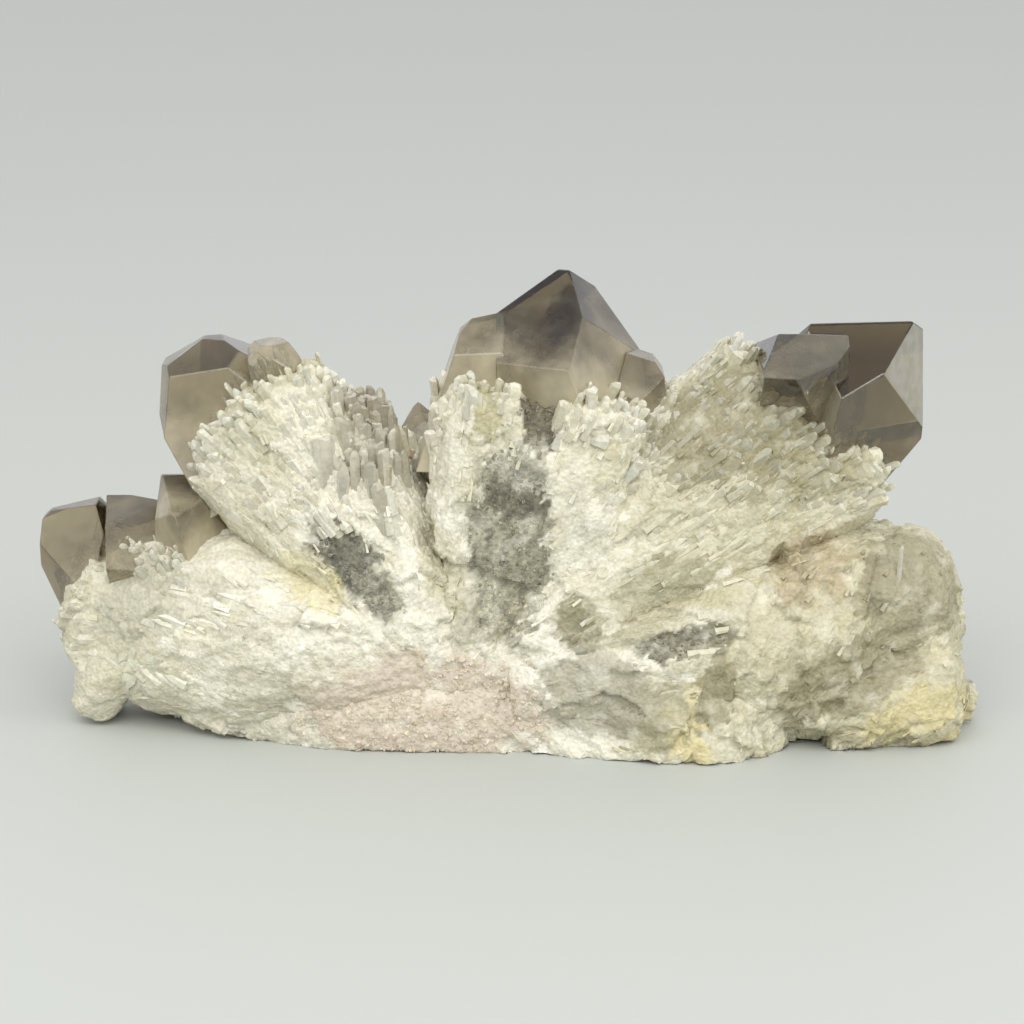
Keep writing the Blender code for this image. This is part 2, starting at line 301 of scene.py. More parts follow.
# %% Loft one bundle
def loft(stations, bulge, first_point):
    """Rings along the spine with a domed end, as points and faces with four and more corners."""
    stations = np.array(stations, float)
    turn = np.linspace(0, 2 * np.pi, RING_POINTS, endpoint=False)
    across = np.sign(np.cos(turn)) * np.abs(np.cos(turn)) ** (2 / ROUNDNESS)
    deep = np.sign(np.sin(turn)) * np.abs(np.sin(turn)) ** (2 / ROUNDNESS)
    rings = []
    for index, (x, z, half_width, front, back) in enumerate(stations):
        near, far = stations[max(index - 1, 0)], stations[min(index + 1, len(stations) - 1)]
        along = unit(np.array((far[0] - near[0], 0, far[1] - near[1])))
        sideways = np.array((along[2], 0, -along[0]))
        centre = np.array((x, (front + back) / 2, z))
        half = np.array((half_width, (back - front) / 2)) - CRYSTAL_ALLOWANCE
        rings.append((centre, sideways, half))
    reach = bulge - 2 * CRYSTAL_ALLOWANCE
    for lift in (0.25, 0.5, 0.7, 0.85, 0.95):
        rings.append((centre + along * reach * lift, sideways, half * (1 - lift ** 2.4) ** 0.5))
    points = [c + np.outer(across * h[0], s) + np.outer(deep * h[1], (0, 1, 0)) for c, s, h in rings]
    points = np.concatenate(points + [[centre + along * reach]])
    ring = np.arange(RING_POINTS)
    faces = []
    for row in range(len(rings) - 1):
        here, ahead = row * RING_POINTS, (row + 1) * RING_POINTS
        following = np.roll(ring, -1)
        faces += np.c_[here + ring, here + following, ahead + following, ahead + ring].tolist()
    last = (len(rings) - 1) * RING_POINTS
    faces += [[last + a, last + b, len(points) - 1] for a, b in zip(ring, np.roll(ring, -1))]
    faces.append(ring[::-1].tolist())
    return points, [[corner + first_point for corner in face] for face in faces]


def skin_of(bundles, voxel):
    """Points, quads and normals of one skin round all these bundles."""
    points, faces = [], []
    for stations, bulge in bundles.values():
        more_points, more_faces = loft(stations, bulge, sum(map(len, points)))
        points.append(more_points)
        faces += more_faces
    mesh = bpy.data.meshes.new("rough")
    mesh.from_pydata(np.concatenate(points).tolist(), [], faces)
    rough = bpy.data.objects.new("rough", mesh)
    bpy.context.scene.collection.objects.link(rough)
    remesh = rough.modifiers.new("one skin", "REMESH")
    remesh.mode = "VOXEL"
    remesh.voxel_size = voxel
    skin = bpy.data.meshes.new_from_object(rough.evaluated_get(bpy.context.evaluated_depsgraph_get()))
    bpy.data.objects.remove(rough)
    coords = np.empty(len(skin.vertices) * 3, np.float32)
    skin.vertices.foreach_get("co", coords)
    normals = np.empty(len(skin.vertices) * 3, np.float32)
    skin.vertices.foreach_get("normal", normals)
    quads = np.empty(len(skin.polygons) * 4, np.int32)
    skin.polygons.foreach_get("vertices", quads)
    return coords.reshape(-1, 3).astype(float), quads.reshape(-1, 4), normals.reshape(-1, 3).astype(float)


MASSES = {
    "low_left_mass": ("low_left", "left_foot"),
    "upper_left_mass": ("upper_left", "upright_prisms"),
    "centre_mass": ("centre", "centre_front"),
    "upper_right_mass": ("upper_right", "right_shoulder"),
    "low_right_mass": ("low_right", "right_foot"),
    "matrix_mass": ("matrix",),
}
skins = {name: skin_of({key: FRONT_BUNDLES[key] for key in keys}, FRONT_VOXEL) for name, keys in MASSES.items()}
skins["back_mass"] = skin_of(BACK_BUNDLES, 0.75)
print("quads of each skin:", {name: len(skin[1]) for name, skin in skins.items()})

# %% [markdown]
# ## How the stone's colour changes
# The sheath is cream where it is dense, greener and greyer towards the ends of the bundles, and broken
# open in a few dark windows. Each patch is an ellipse on the front with a ragged edge. The same function
# colours the skin and the crystals, so that they agree.

# %% Patches of colour on the front: centre x z, half sizes, turn in degrees, screen colour, strength
PATCHES = {
    "matrix": ((-15, 6.5), (20, 9.5), 0, (207, 195, 177), 1.0),
    "low_right_body": ((56, 18), (25, 19), 0, (188, 182, 150), 0.65),
    "upper_right_body": ((36, 40), (19, 11), 20, (187, 181, 149), 0.65),
    "olive_body": ((36, 51.5), (15, 10), 8, (143, 136, 103), 0.9),
    "olive_side": ((49, 45), (7, 7), 0, (160, 153, 120), 0.85),
    "tan_patch": ((47.5, 29.5), (7, 5.5), 0, (172, 158, 126), 0.75),
    "olive_blades": ((23, 26), (10, 6), 25, (170, 165, 135), 0.8),
    "olive_low": ((23.5, 6.8), (7.5, 6), 0, (152, 146, 114), 0.82),
    "yellow_ridge": ((27.2, 6.5), (1.8, 7), -15, (216, 206, 160), 0.6),
    "grey_rise": ((-40, 9.5), (7, 5), 0, (192, 188, 166), 0.6),
    "grey_prisms": ((-20.5, 53), (4.5, 7), 0, (166, 159, 140), 0.85),
    "centre_window": ((-0.5, 33.5), (6.8, 15.5), 0, (140, 137, 117), 0.92),
    "centre_window_foot": ((-3.5, 22.5), (6, 5.5), 0, (182, 178, 156), 0.8),
    "centre_window_dark": ((0.4, 41.2), (5.6, 3.4), 0, (100, 97, 80), 0.8),
    "centre_window_bright": ((2.0, 46.4), (4.2, 2.6), 0, (186, 184, 168), 0.75),
    "centre_speckles": ((4.8, 54.5), (3.1, 6.3), 0, (104, 97, 76), 0.95),
    "left_window": ((-25.6, 31), (4.2, 7), 38, (106, 104, 88), 0.95),
    "left_window_low": ((-21.5, 25.5), (3.2, 5), 30, (144, 141, 123), 0.9),
    "right_window": ((25.8, 18.8), (8.0, 2.7), 12, (112, 108, 88), 0.9),
    "olive_patch": ((32.5, 11.1), (3.4, 5.6), -20, (138, 132, 98), 0.8),
    "olive_left_of_centre": ((-4.1, 54.2), (2.3, 4.6), 0, (176, 170, 130), 0.8),
    "olive_below_cleft": ((-11, 29.5), (3.5, 7), 12, (192, 186, 154), 0.6),
    "cleft": ((10.6, 21.2), (4.0, 4.0), 0, (132, 126, 92), 0.8),
    "yellow_corner": ((66.0, 4.5), (10.5, 6.5), 0, (206, 195, 148), 0.85),
    "yellow_spot": ((29.3, 1.5), (3.3, 2.2), 0, (212, 198, 140), 0.7),
    "yellow_fibres": ((-31.8, 27.1), (6.3, 3.6), -30, (216, 206, 160), 0.6),
    "olive_streak": ((56.7, 26.8), (1.9, 5.2), -20, (138, 127, 92), 0.7),
    "grey_band": ((54, 12.5), (13.5, 6), 25, (142, 135, 106), 0.8),
    "grey_rim": ((64, 26), (9, 9), 30, (148, 142, 116), 0.82),
    "grey_left": ((-60, 22), (8, 6), 30, (180, 177, 156), 0.6),
    "grey_low": ((13, 11), (9, 7), 0, (164, 160, 140), 0.8),
}
WINDOWS = ("centre_window", "centre_speckles", "left_window", "left_window_low", "right_window")
CREAM = linear(223, 219, 202)
WHITE = linear(234, 231, 217)
OLIVE = linear(196, 191, 162)
FAN_FOCUS = np.array((-11.5, -4.0, 7.9))
RIGHT_FOCUS = np.array((26.4, -4.0, -14.3))


# %% Which way the crystals grow, and how the stone broke
def in_low_right(points):
    """1 in the lower right bundle, which started lower than the rest, so that its crystals run steeply."""
    x, _, z = points.T
    return ((x > 23.6 + 0.57 * z) & (z < 19 + 0.32 * x)).astype(float)


def away_from_focus(points):
    """From the point where the crystals here started."""
    right = in_low_right(points)[:, None]
    return points - FAN_FOCUS * (1 - right) - RIGHT_FOCUS * right


def fibre_place(points, across, along):
    """A place in which streaks that radiate from the focus are as long as they are wide."""
    away = away_from_focus(points)
    distance = np.linalg.norm(away, axis=1, keepdims=True)
    return unit(away) * 34 / across + distance / along * np.array((0.6, 0.2, 0.7))


def grain(points, across, along, seed):
    return noise_at(fibre_place(points, across, along), 1, seed)


def chips(points, across, along, seed):
    """Splits the stone into splinters: a height and a tone for each point, and how near it is to a crack."""
    found = []
    for place in (fibre_place(points, across, along) + seed).tolist():
        distances, cells = noise.voronoi(place)
        tilt = noise.cell_vector(cells[0] * 31.7)
        step = (Vector(place) - cells[0]).dot(tilt - Vector((0.5, 0.5, 0.5)))
        found.append((2 * step + tilt.x - 0.5, tilt.y - 0.5, distances[1] - distances[0]))
    return np.array(found).T


# %% Colour at any point
def ragged(points):
    return 0.28 * noise_at(points, 2.2, 3) + 0.2 * noise_at(points, 5, 9)


def patch_share(points, name, edge_noise):
    """How much of a patch there is at each point, 0 to 1, with a ragged edge."""
    (x, z), (half_x, half_z), turn, _, _ = PATCHES[name]
    turn = math.radians(turn)
    dx, dz = points[:, 0] - x, points[:, 2] - z
    across = (dx * math.cos(turn) + dz * math.sin(turn)) / half_x
    up = (dz * math.cos(turn) - dx * math.sin(turn)) / half_z
    edge = np.hypot(across, up) + edge_noise
    front = np.clip((-4 - points[:, 1]) / 4, 0, 1)
    return np.clip((1.08 - edge) / 0.22, 0, 1) * front


def window_share(points, edge_noise):
    return np.max([patch_share(points, name, edge_noise) for name in WINDOWS], axis=0)


def stone_colour(points):
    """The stone's colour at each point, before each crystal's own difference."""
    far = np.clip((np.linalg.norm(points - FAN_FOCUS, axis=1) - 26) / 40, 0, 1)
    cloud = noise_at(points, 11, 1) + 0.7 * grain(points, 2.4, 9, 3)
    _, tone, crack = chips(points, 3.2, 11, 4)
    olive = np.clip(0.2 + 0.45 * far + 0.4 * cloud + 0.5 * tone, 0, 1)[:, None]
    white = np.clip(0.3 + 0.9 * noise_at(points, 6, 5) - far + 0.6 * np.clip(1 - crack / 0.1, 0, 1), 0, 1)[:, None]
    colours = CREAM * (1 - olive) + OLIVE * olive
    colours = colours * (1 - white) + WHITE * white
    edge_noise = ragged(points)
    for name, (_, _, _, screen, strength) in PATCHES.items():
        share = (patch_share(points, name, edge_noise) * strength)[:, None]
        colours = colours * (1 - share) + linear(*screen) * share
    return colours


def splintered_colour(points, across, along, seed):
    """The same, but each splinter takes the colour at its own middle, so that patches end in sharp steps."""
    cells = np.array([noise.voronoi(place)[1][0][:]
                      for place in (fibre_place(points, across, along) + seed).tolist()])
    _, member = np.unique(cells.round(3), axis=0, return_inverse=True)
    member = member.ravel()
    size = np.bincount(member)
    middles = np.stack([np.bincount(member, points[:, axis]) / size for axis in range(3)], axis=1)
    tones = 1 + draw.normal(0, 0.05, (len(size), 1))
    speckled = window_share(points, ragged(points)) * (noise_at(points, 0.8, 21) + 0.6 * noise_at(points, 2, 22))
    return (stone_colour(middles) * tones)[member] * (1 + 0.7 * speckled[:, None])


print(len(PATCHES), "patches of colour")


# %% [markdown]
# ## Roughening the skin
# Broken crystals leave splinters and ridges that run away from the point where they started. So the
# noise is looked up by direction from that point, and only slowly by distance. Cells of three sizes, each
# with its own tilt, give the splinters. The windows are broken a little deeper.

# %% Displace the skin
def roughen(points, normals):
    edge_noise = ragged(points)
    matrix = patch_share(points, "matrix", edge_noise)
    window = window_share(points, edge_noise)
    streaks = (0.1 * grain(points, 0.9, 3.5, 2) + 0.2 * chips(points, 1.3, 4.5, 5)[0]
               + 0.45 * chips(points, 3.2, 11, 4)[0] + 0.9 * chips(points, 7.5, 24, 6)[0])
    streaks *= 1 + 0.5 * in_low_right(points)
    lumps = 0.7 * noise_at(points, 7, 6)
    grains = 0.3 * noise_at(points, 0.9, 8) + 0.25 * noise_at(points, 1.7, 7)
    height = (streaks + lumps) * (1 - matrix) * (1 - 0.6 * window) + grains * (0.3 + 0.9 * matrix)
    height -= 1.0 * window
    moved = points + normals * height[:, None]
    underside = np.clip(1.2 * noise_at(moved * (1, 1, 0), 8, 13) + 0.5 * noise_at(moved * (1, 1, 0), 2.5, 14), 0, 2)
    moved[:, 2] = np.maximum(moved[:, 2], underside)
    return np.clip(moved, box_low, box_high)


smooth_skins = {name: skin[0] for name, skin in skins.items()}
rough_skins = {name: roughen(points, normals) for name, (points, _, normals) in skins.items()}
print("skins from", np.min([points.min(0) for points in rough_skins.values()], axis=0).round(1))

# %% [markdown]
# ## Small crystals
# A small quartz crystal is a six-sided prism with a pointed end. Instancing one crystal would be light,
# but every crystal would look the same and an exported model would lose them. Here all crystals of a kind
# are worked out at once as arrays, each with its own width, flatness, tilt and break, and go into one mesh.

# %% Grow many crystals at once


def crystal_faces(sides, rings):
    """Which corners make each face. Corners are numbered ring by ring from the root, and the tip is last."""
    ring = np.arange(sides)
    following = np.roll(ring, -1)
    walls = [np.c_[ring, following, following + sides, ring + sides] + row * sides for row in range(rings - 1)]
    last = sides * (rings - 1)
    return np.concatenate(walls), np.c_[ring, following, np.full(sides, sides)] + last, ring[::-1][None]


def crystals(roots, aims, lengths, radii, flatness, tips, faces_out, sides, domed, taper):
    """Points and faces of one crystal for each root. flatness thins it along faces_out."""
    count = len(roots)
    aims = unit(aims)
    thin = unit(faces_out - aims * (faces_out * aims).sum(1, keepdims=True))
    wide = np.cross(aims, thin)
    turn = draw.uniform(0, np.pi / 3, (count, 1)) + np.arange(sides) * 2 * np.pi / sides
    wobble = draw.uniform(0.82, 1.15, (count, sides))
    a = (np.cos(turn) * wobble * radii[:, None])[..., None] * wide[:, None]
    b = (np.sin(turn) * wobble * (radii * flatness)[:, None])[..., None] * thin[:, None]
    shoulder = (lengths - tips)[:, None] + draw.normal(0, 0.16, (count, sides)) * radii[:, None]
    slant = draw.normal(0, 0.22, (count, 1)) * np.cos(turn - draw.uniform(0, 6.3, (count, 1)))
    shoulder += slant * radii[:, None]
    taper = draw.uniform(*taper, (count, 1, 1))
    low_ring = roots[:, None] + (a + b) * 0.9
    high_ring = roots[:, None] + (a + b) * taper + aims[:, None] * shoulder[..., None]
    off_centre = draw.uniform(0.1, 0.45, (count, 1)) * radii[:, None]
    swing = draw.uniform(0, 6.3, (count, 1))
    tip = (roots + aims * lengths[:, None] + wide * np.cos(swing) * off_centre
           + thin * np.sin(swing) * off_centre * flatness[:, None])[:, None]
    rings = [low_ring, high_ring]
    if domed:
        rings.append(tip + (high_ring - tip) * 0.58 + aims[:, None] * tips[:, None, None] * 0.26)
    points = np.concatenate(rings + [tip], axis=1)
    first = (np.arange(count) * points.shape[1])[:, None, None]
    groups = [(group[None] + first).reshape(-1, group.shape[1]) for group in crystal_faces(sides, len(rings))]
    return points, groups


FRONT_BIAS = 1.2


def scatter(points, smooth_points, quads, count):
    """Random places on a skin, denser at the front, with the way out of the smooth skin at each."""
    corners = points[quads]
    smooth = smooth_points[quads]
    out = np.cross(smooth[:, 2] - smooth[:, 0], smooth[:, 3] - smooth[:, 1])
    area = np.linalg.norm(out, axis=1)
    weight = area * (1 + np.clip(-1.5 * unit(out)[:, 1], 0, 1) * FRONT_BIAS)
    chosen = draw.choice(len(quads), count, p=weight / weight.sum())
    share = draw.uniform(0, 1, (count, 2, 1))
    first = corners[chosen, 0] * (1 - share[:, 0]) + corners[chosen, 1] * share[:, 0]
    second = corners[chosen, 3] * (1 - share[:, 0]) + corners[chosen, 2] * share[:, 0]
    return first * (1 - share[:, 1]) + second * share[:, 1], unit(out)[chosen], chosen


def keep_in_box(points, sides):
    """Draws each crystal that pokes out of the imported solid's box back towards its root."""
    roots = points[:, :sides].mean(1, keepdims=True)
    reach = points - roots
    low = np.maximum(box_low, (-1e9, -1e9, 0.02)) + 0.02
    high = box_high - 0.02
    with np.errstate(divide="ignore", invalid="ignore"):
        room = np.where(reach > 1e-6, (high - roots) / reach, np.where(reach < -1e-6, (low - roots) / reach, 1))
    share = np.clip(room.reshape(len(points), -1).min(1), 0.05, 1)[:, None, None]
    return np.clip(roots + reach * share, low, high)


# %% [markdown]
# ## The sheath
# At the ends of the bundles crystals stand up. Further down the mass has nearly grown over them, so that
# only backs and tips show, and where it was broken it has flat splinters. All point away from the focus.
# Random places are drawn once on the skins, and each layer below takes the places that suit it.

# %% Draw places on the skins


trees = {name: BVHTree.FromPolygons(points.tolist(), skins[name][1].tolist())
         for name, points in smooth_skins.items()}


def depth_in(tree, point):
    """How far a point lies inside a closed skin."""
    nearest, out, _, _ = tree.find_nearest(point, 3.0)
    return -(Vector(point) - nearest).dot(out) if nearest else 0.0


class Places:
    """Random places on some skins, with the way out, the way that crystals grow, and how much each stands."""

    def __init__(self, names, count):
        first = np.cumsum([0] + [len(rough_skins[name]) for name in names])
        quads = np.concatenate([skins[name][1] + start for name, start in zip(names, first)])
        self.roots, self.out, chosen = scatter(np.concatenate([rough_skins[name] for name in names]), np.concatenate(
            [smooth_skins[name] for name in names]), quads, count)
        own = np.searchsorted(np.cumsum([len(skins[name][1]) for name in names]), chosen, side="right")
        away = away_from_focus(self.roots)
        self.fan = unit(away * (1, 0.4, 1))
        outward = (self.out * unit(away * (1, 0, 1))).sum(1)
        self.standing = np.clip((outward + draw.normal(0, 0.05, count) - 0.12) / 0.5, 0, 1)
        x, y, z = self.roots.T
        at_left_end = np.clip((-62 - x) / 8, 0, 0.75) * (z > 12)
        self.worn = np.clip((38 - z) / 4, 0, 1) * np.clip((8 - y) / 6, 0, 1) * (1 - at_left_end)
        edge_noise = ragged(self.roots)
        self.matrix = patch_share(self.roots, "matrix", edge_noise)
        self.window = window_share(self.roots, edge_noise)
        self.under = np.clip(-self.out[:, 2] - 0.45, 0, 0.5) * 2 + (self.roots[:, 2] < 1.5)
        self.chance = draw.uniform(0, 1, count)
        self.open = np.array([all(depth_in(tree, root) < 0.6 for name, tree in trees.items() if name != names[mine])
                              for root, mine in zip(self.roots, own)])

    def take(self, keep):
        chosen = object.__new__(Places)
        chosen.__dict__ = {key: value[keep] for key, value in self.__dict__.items()}
        return chosen


def grow(name, places, radii, lengths, flatness, lean, spread, buried, sunk, tone, colours=None,
         upright=0.0, sides=5, domed=False, tips=None, taper=(0.8, 1.0), twist=0.0):
    """One layer of crystals as a mesh.

    lean tips them out of the skin, buried is the share of each that lies under its root, sunk pushes it
    into the skin, upright is how far they follow the fan instead of lying in the skin, and twist turns
    them about their own length.
    """
    count = len(places.roots)
    if tips is None:
        tips = radii * draw.uniform(0.15, 1.5, count)
    into = (places.fan * places.out).sum(1, keepdims=True)
    flat = places.fan - places.out * into * (1 - np.reshape(upright, (-1, 1)))
    aims = unit(unit(flat) + places.out * lean[:, None] + draw.normal(0, spread, (count, 3)))
    roots = places.roots - aims * (buried * lengths)[:, None] - places.out * (radii * sunk)[:, None]
    facing_out = places.out + draw.normal(0, 1, (count, 3)) * twist
    shapes, groups = crystals(roots, aims, lengths, radii, flatness, tips, facing_out, sides, domed, taper)
    shapes = keep_in_box(shapes, sides)
    if colours is None:
        colours = stone_colour(shapes[:, -1])
    colours = colours * (1 + draw.normal(0, tone, (count, 1)))
    colours = colours * (1 + draw.normal(0, 0.012, (count, 1)) * np.array((1, 0, -2.0)))
    per_point = np.repeat(np.clip(colours, 0.01, 0.95), shapes.shape[1], axis=0)
    print(name, count, "crystals")
    return make_mesh(name, shapes.reshape(-1, 3), groups, per_point)


FRONT_COUNT = 46000
front_places = Places(list(MASSES), FRONT_COUNT)
front_places = front_places.take(front_places.open)
back_places = Places(["back_mass"], 9000)
back_places = back_places.take(back_places.open)
print("places, front and back:", len(front_places.roots), len(back_places.roots))

# %% Cover the skins with crystals


def splinters(name, places, scale):
    """Flat splinters that barely rise from the skin, where the mass has been broken and grown over."""
    keep = ((places.standing < 0.6) | (places.worn > 0.5)) & (
        places.chance > np.maximum(places.matrix, places.window) + places.under)
    chosen = places.take(keep)
    count = len(chosen.roots)
    lengths = draw.uniform(1.4, 4.2, count) * scale
    return grow(name, chosen, draw.gamma(7, 0.055, count) * scale, lengths, draw.uniform(0.3, 0.6, count),
                draw.gamma(2, 0.02, count) / scale, 0.12, np.full(count, 0.5), 0.35, 0.04,
                tips=lengths * draw.uniform(0.1, 0.4, count), taper=(0.35, 0.85), twist=0.28)


def standing_crystals(name, places, scale):
    """Glassy crystals that stand out of the bundles' ends."""
    keep = (places.standing > 0.5) & (places.chance > np.maximum(places.matrix, places.window)
                                      + places.under + places.worn)
    chosen = places.take(keep)
    count = len(chosen.roots)
    ends = np.clip(chosen.standing + draw.normal(0, 0.15, count), 0, 1)
    pale = 0.4 * ends[:, None]
    colours = stone_colour(chosen.roots) * (1 - pale) + linear(222, 220, 200) * pale
    radii = draw.gamma(9, 0.115, count) * scale
    lengths = draw.uniform(4.5, 8.5, count) * scale * np.clip(chosen.roots[:, 2] / 50, 0.45, 1)
    return grow(name, chosen, radii, lengths, draw.uniform(0.65, 1.0, count),
                0.1 + 0.3 * chosen.standing, 0.07, draw.uniform(0.55, 0.85, count), 0.25, 0.06, colours,
                upright=0.4 + 0.6 * chosen.standing, sides=6, domed=True,
                tips=radii * draw.uniform(0.45, 1.2, count))


def half_grown_crystals(name, places, scale):
    """Crystals that the mass has nearly grown over, so that only their backs and tips show."""
    keep = (places.standing > 0.1) & (places.standing < 0.62) & (
        places.chance > np.maximum(places.matrix, places.window) + places.under + places.worn)
    chosen = places.take(keep)
    count = len(chosen.roots)
    colours = stone_colour(chosen.roots) * 0.75 + linear(220, 217, 196) * 0.25
    radii = draw.gamma(9, 0.11, count) * scale
    return grow(name, chosen, radii, draw.uniform(2.5, 5.5, count) * scale, draw.uniform(0.7, 1.0, count),
                0.12 + 0.18 * chosen.standing, 0.08, draw.uniform(0.5, 0.8, count), 0.55, 0.05, colours,
                upright=0.25, sides=6, domed=True, tips=radii * draw.uniform(0.45, 1.2, count))


share = np.linspace(0, 1, len(front_places.roots))
back_share = np.linspace(0, 1, len(back_places.roots))
small_layers = {}
for name, maker, places, scale in (
        ("fine_splinters", splinters, front_places.take(share < np.where(front_places.worn > 0.5, 0.07, 0.2)), 1.0),
        ("front_standing_crystals", standing_crystals, front_places.take((share > 0.5) & (share < 0.75)), 1.0),
        ("half_grown_crystals", half_grown_crystals, front_places.take((share > 0.75) & (share < 0.97)), 1.0),
        ("back_splinters", splinters, back_places.take(back_share < 0.6), 2.0),
        ("back_standing_crystals", standing_crystals, back_places.take(back_share >= 0.6), 1.3)):
    small_layers[name] = maker(name, places, scale)

# %% [markdown]
# ## Crystals that stand out by themselves
# Some crystals catch the eye: a row of long upright prisms, white points, flat blades like leaves, and one
# small orange crystal in the cleft. Each row below names a spot on the front, how far the group reaches,
# how many there are, the way they point (or None for the fan's own way) and their size.

# %% Groups: x, z, reach x z, count, aim, radius, length, flatness, screen colour
PRISMS = {
    "upright prisms": (-21.5, 47.5, 5.5, 6, 80, (-0.06, -0.02, 1), 1.2, 8.5, 0.9, (158, 151, 132)),
    "pinkish white points": (-13, 50, 2.2, 2.5, 7, (-0.15, -0.3, 1), 1.4, 4, 0.9, (226, 216, 202)),
    "white points": (20.3, 51.5, 1.6, 2.2, 5, (0.15, -0.3, 1), 0.95, 4.5, 0.8, (238, 236, 226)),
    "white prism": (12.5, 57, 0.9, 0.8, 2, (0.05, -0.25, 1), 1.2, 5, 0.8, (236, 234, 222)),
    "top white prism": (35.3, 61, 0.7, 0.4, 1, (0.3, -0.1, 1), 1.2, 8, 0.8, (240, 240, 234)),
    "orange crystal": (-15.4, 46.5, 0.3, 0.3, 2, (-0.3, -0.7, 0.4), 1.1, 2.6, 0.9, (230, 172, 128)),
    "grey block": (39.4, 58, 0.3, 0.3, 1, (0.1, -0.7, 0.8), 2.0, 4.5, 0.9, (150, 150, 128)),
    "needle": (61.5, 27, 0.2, 0.2, 1, (0.1, 0, 1), 0.4, 9, 0.9, (234, 230, 212)),
    "left tips": (-59, 28.5, 9, 4, 40, (-0.55, -0.2, 0.85), 0.8, 3.4, 0.7, (208, 206, 186)),
}
BLADES = {
    "pale plate": (47.5, 40, 1.5, 1.5, 2, (1, -0.1, 0.35), 3.4, 10, 0.3, (200, 195, 166)),
    "white blade": (34.5, 45, 1, 1, 2, (0.5, -0.3, 0.8), 1.4, 6, 0.3, (232, 230, 218)),
    "leaves": (-61, 12, 5, 4, 20, (-0.5, -0.1, -0.85), 1.3, 4.5, 0.45, (214, 215, 194)),
    "upper left ridge": (-43, 23.5, 11, 0.9, 22, (-0.95, -0.1, 0.3), 0.9, 4.5, 0.8, (232, 230, 216)),
    "lower left ridge": (-52, 20, 6, 0.7, 12, (-0.97, -0.1, 0.2), 0.9, 4.5, 0.8, (232, 230, 216)),
    "gap ridge": (-56, 10.5, 6, 0.7, 12, (-0.85, -0.1, 0.5), 0.9, 4, 0.8, (234, 232, 218)),
    "diagonal blades": (26, 34, 17, 12, 40, None, 0.8, 6, 0.6, (214, 210, 186)),
}


def front_spot(x, z):
    """The place on the front skin that is seen at x, z, or the next one outside the windows."""
    off = np.hypot(front_places.roots[:, 0] - x, front_places.roots[:, 2] - z)
    return np.argmin(off + 0.1 * front_places.roots[:, 1] + 5 * front_places.window)


def grow_groups(name, groups, sunk, domed):
    spots, sizes, colours, aims = [], [], [], []
    for x, z, reach_x, reach_z, count, aim, *size, screen in groups.values():
        for x_here, z_here in draw.normal((x, z), (0.55 * reach_x, 0.55 * reach_z), (count, 2)):
            spots.append(front_spot(x_here, z_here))
            sizes.append(size)
            colours.append(linear(*screen))
            aims.append(aim)
    picked = front_places.take(np.array(spots))
    for index, aim in enumerate(aims):
        if aim:
            picked.fan[index] = unit(np.array(aim))
    radii, lengths, flatness = np.array(sizes).T * draw.uniform(0.7, 1.25, (3, len(sizes)))
    colours = 0.55 * np.array(colours) + 0.45 * stone_colour(picked.roots)
    shape = {"domed": True} if domed else {"tips": lengths * 0.3, "taper": (0.5, 0.9), "twist": 0.2}
    return grow(name, picked, radii, lengths, flatness, draw.gamma(2, 0.02, len(sizes)), 0.06,
                np.full(len(sizes), 0.4), sunk, 0.04, colours,
                upright=np.array([0.9 if aim and domed else 0.1 for aim in aims]), sides=6, **shape)


small_layers["standing_groups"] = grow_groups("standing_groups", PRISMS, 0.45, True)
small_layers["blade_groups"] = grow_groups("blade_groups", BLADES, 0.35, False)

# %% [markdown]
# ## Grains in the windows and the matrix
# Where the mass broke open it shows grey, sparkling grains, and the lump at the bottom is sugary and pink.
# These are crystals too, but as wide as they are long and turned every way.

# %% Grains


def grains(name, count, share_of, size, tone):
    places = Places(["centre_mass", "upper_left_mass", "upper_right_mass", "low_right_mass", "matrix_mass"], count)
    chosen = places.take((share_of(places) > places.chance) & places.open)
    count = len(chosen.roots)
    radii = draw.gamma(8, size / 8, count)
    return grow(name, chosen, radii, radii * draw.uniform(1.4, 2.6, count), draw.uniform(0.7, 1, count),
                draw.uniform(0, 1.5, count), 0.6, np.full(count, 0.5), 0.3, tone, upright=0.5, sides=6)


small_layers["window_grains"] = grains("window_grains", 40000, lambda p: p.window, 0.34, 0.2)
small_layers["matrix_grains"] = grains("matrix_grains", 50000, lambda p: p.matrix * 0.8, 0.36, 0.06)

# %% [markdown]
# ## Large smoky crystals
# A crystal face is truly flat. So each large crystal starts as a block, and one plane for each face cuts
# it down. A face is given as the way it looks round the compass, how far it looks up, and its distance
# from the crystal's centre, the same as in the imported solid.

